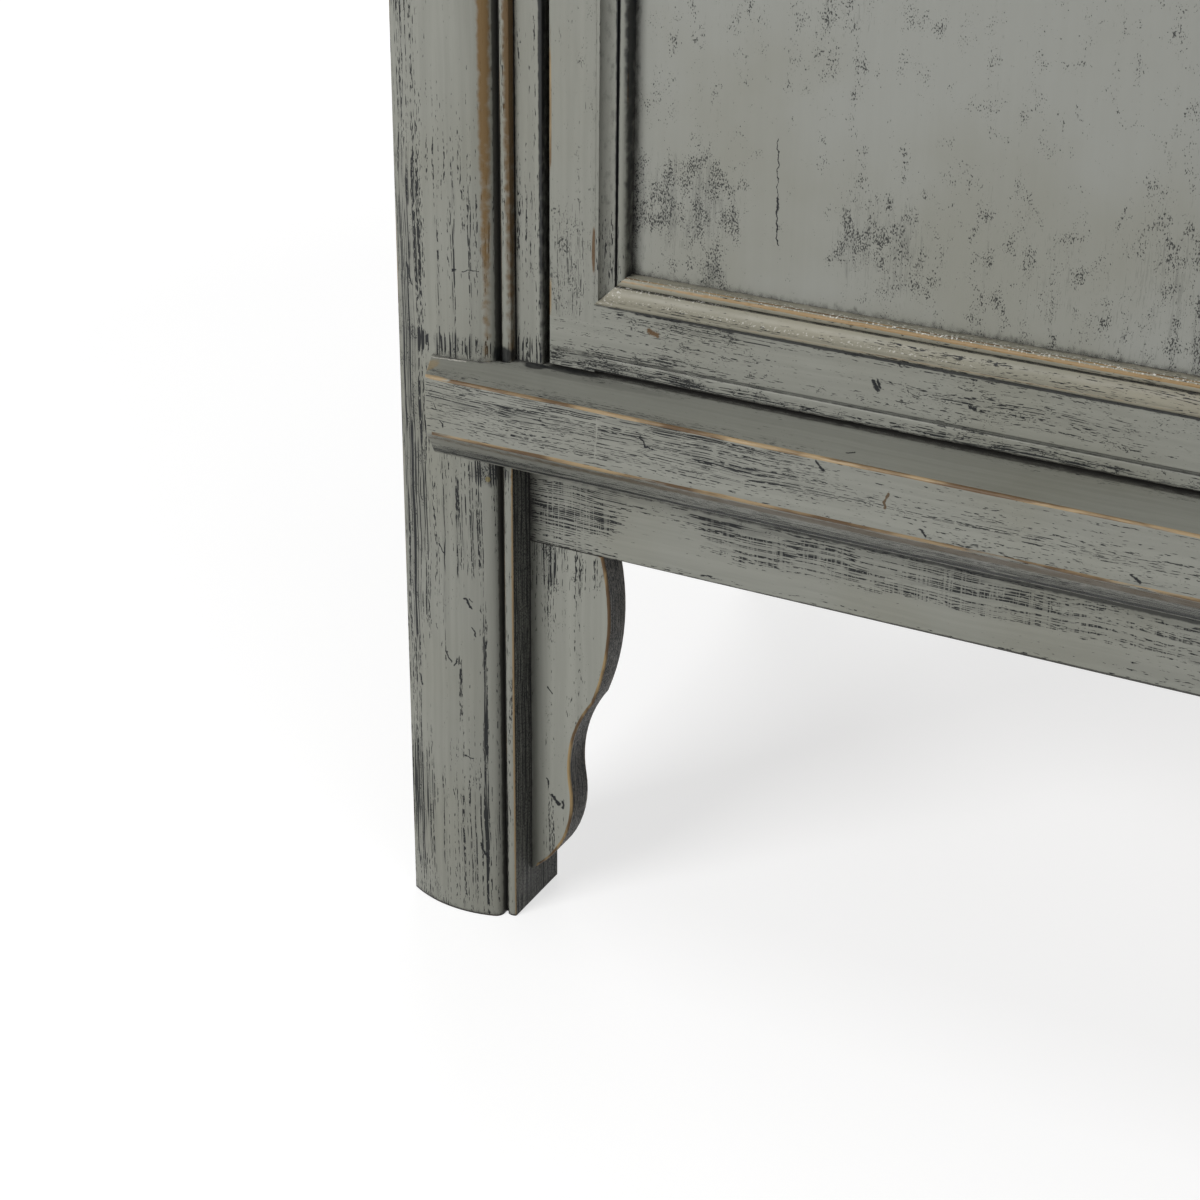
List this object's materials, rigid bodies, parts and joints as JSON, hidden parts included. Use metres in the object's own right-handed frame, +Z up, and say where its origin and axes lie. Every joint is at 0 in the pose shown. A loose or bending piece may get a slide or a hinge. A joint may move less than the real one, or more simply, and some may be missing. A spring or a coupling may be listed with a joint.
{
  "type": "storage cabinet",
  "caption": "Free-standing frame-and-panel wooden cabinet on square legs, with a moulded ledge over a bracketed apron, hinged panelled doors, shelves and drop pulls.",
  "frame": {"origin": "on the floor, under the middle of the cabinet's outline", "axes": "+Z up, +X to the right along the front, +Y from the front to the back; the doors face -Y"},
  "size_m": [1, 0.5124, 1.2],
  "materials": {
    "grey_lacquer": "satin grey-green lacquer, rubbed through to brown wood at the edges, with dark open grain",
    "bare_elm": "unpainted, lightly stained elm",
    "aged_brass": "darkened, worn brass"
  },
  "bodies": {
    "carcass": {"back_muntin": "bare_elm", "back_panels": "bare_elm", "back_rail_lower": "bare_elm", "back_rail_upper": "bare_elm", "bracket_front_left": "grey_lacquer", "bracket_front_right": "grey_lacquer", "door_head_rail": "grey_lacquer", "door_stop": "bare_elm", "floor_board": "bare_elm", "front_apron": "grey_lacquer", "hinge_frame_leaves": "aged_brass", "hinge_frame_nails": "aged_brass", "hinge_pins": "aged_brass", "jamb_strip_left": "grey_lacquer", "jamb_strip_right": "grey_lacquer", "ledge_rail": "grey_lacquer", "leg_front_left": "grey_lacquer", "leg_front_right": "grey_lacquer", "leg_rear_left": "grey_lacquer", "leg_rear_right": "grey_lacquer", "shelf_cleats": "bare_elm", "shelf_lower": "bare_elm", "shelf_upper": "bare_elm", "side_aprons": "grey_lacquer", "side_brackets": "grey_lacquer", "side_panel_left": "grey_lacquer", "side_panel_right": "grey_lacquer", "side_rail_lower_left": "grey_lacquer", "side_rail_lower_right": "grey_lacquer", "side_rail_upper_left": "grey_lacquer", "side_rail_upper_right": "grey_lacquer", "top_battens": "bare_elm", "top_frame_back": "grey_lacquer", "top_frame_ends": "grey_lacquer", "top_frame_front": "grey_lacquer", "top_panel": "grey_lacquer", "wooden_pegs": "bare_elm"},
    "left_door": {"door_left_bottom_rail": "grey_lacquer", "door_left_hinge_leaves": "aged_brass", "door_left_hinge_stile": "grey_lacquer", "door_left_meeting_stile": "grey_lacquer", "door_left_moulding": "grey_lacquer", "door_left_nails": "aged_brass", "door_left_panel": "grey_lacquer", "door_left_pull_pin": "aged_brass", "door_left_pull_plate": "aged_brass", "door_left_top_rail": "grey_lacquer"},
    "right_door": {"door_right_bottom_rail": "grey_lacquer", "door_right_hinge_leaves": "aged_brass", "door_right_hinge_stile": "grey_lacquer", "door_right_meeting_stile": "grey_lacquer", "door_right_moulding": "grey_lacquer", "door_right_nails": "aged_brass", "door_right_panel": "grey_lacquer", "door_right_pull_pin": "aged_brass", "door_right_pull_plate": "aged_brass", "door_right_top_rail": "grey_lacquer"},
    "left_pull": {"pull_left": "aged_brass"},
    "right_pull": {"pull_right": "aged_brass"}
  },
  "joints": [
    {"name": "left_door_hinge", "type": "hinge", "parent": "carcass", "child": "left_door", "pos_m": [-0.39815, -0.22225, 0.72575], "axis": [0, 0, 1], "range_deg": [-160, 0]},
    {"name": "right_door_hinge", "type": "hinge", "parent": "carcass", "child": "right_door", "pos_m": [0.39815, -0.22225, 0.72575], "axis": [0, 0, 1], "range_deg": [0, 160]},
    {"name": "left_pull_swing", "type": "hinge", "parent": "left_door", "child": "left_pull", "pos_m": [-0.0135, -0.22675, 0.74575], "axis": [-1, 0, 0], "range_deg": [-5, 90]},
    {"name": "right_pull_swing", "type": "hinge", "parent": "right_door", "child": "right_pull", "pos_m": [0.0135, -0.22675, 0.74575], "axis": [-1, 0, 0], "range_deg": [-5, 90]}
  ]
}
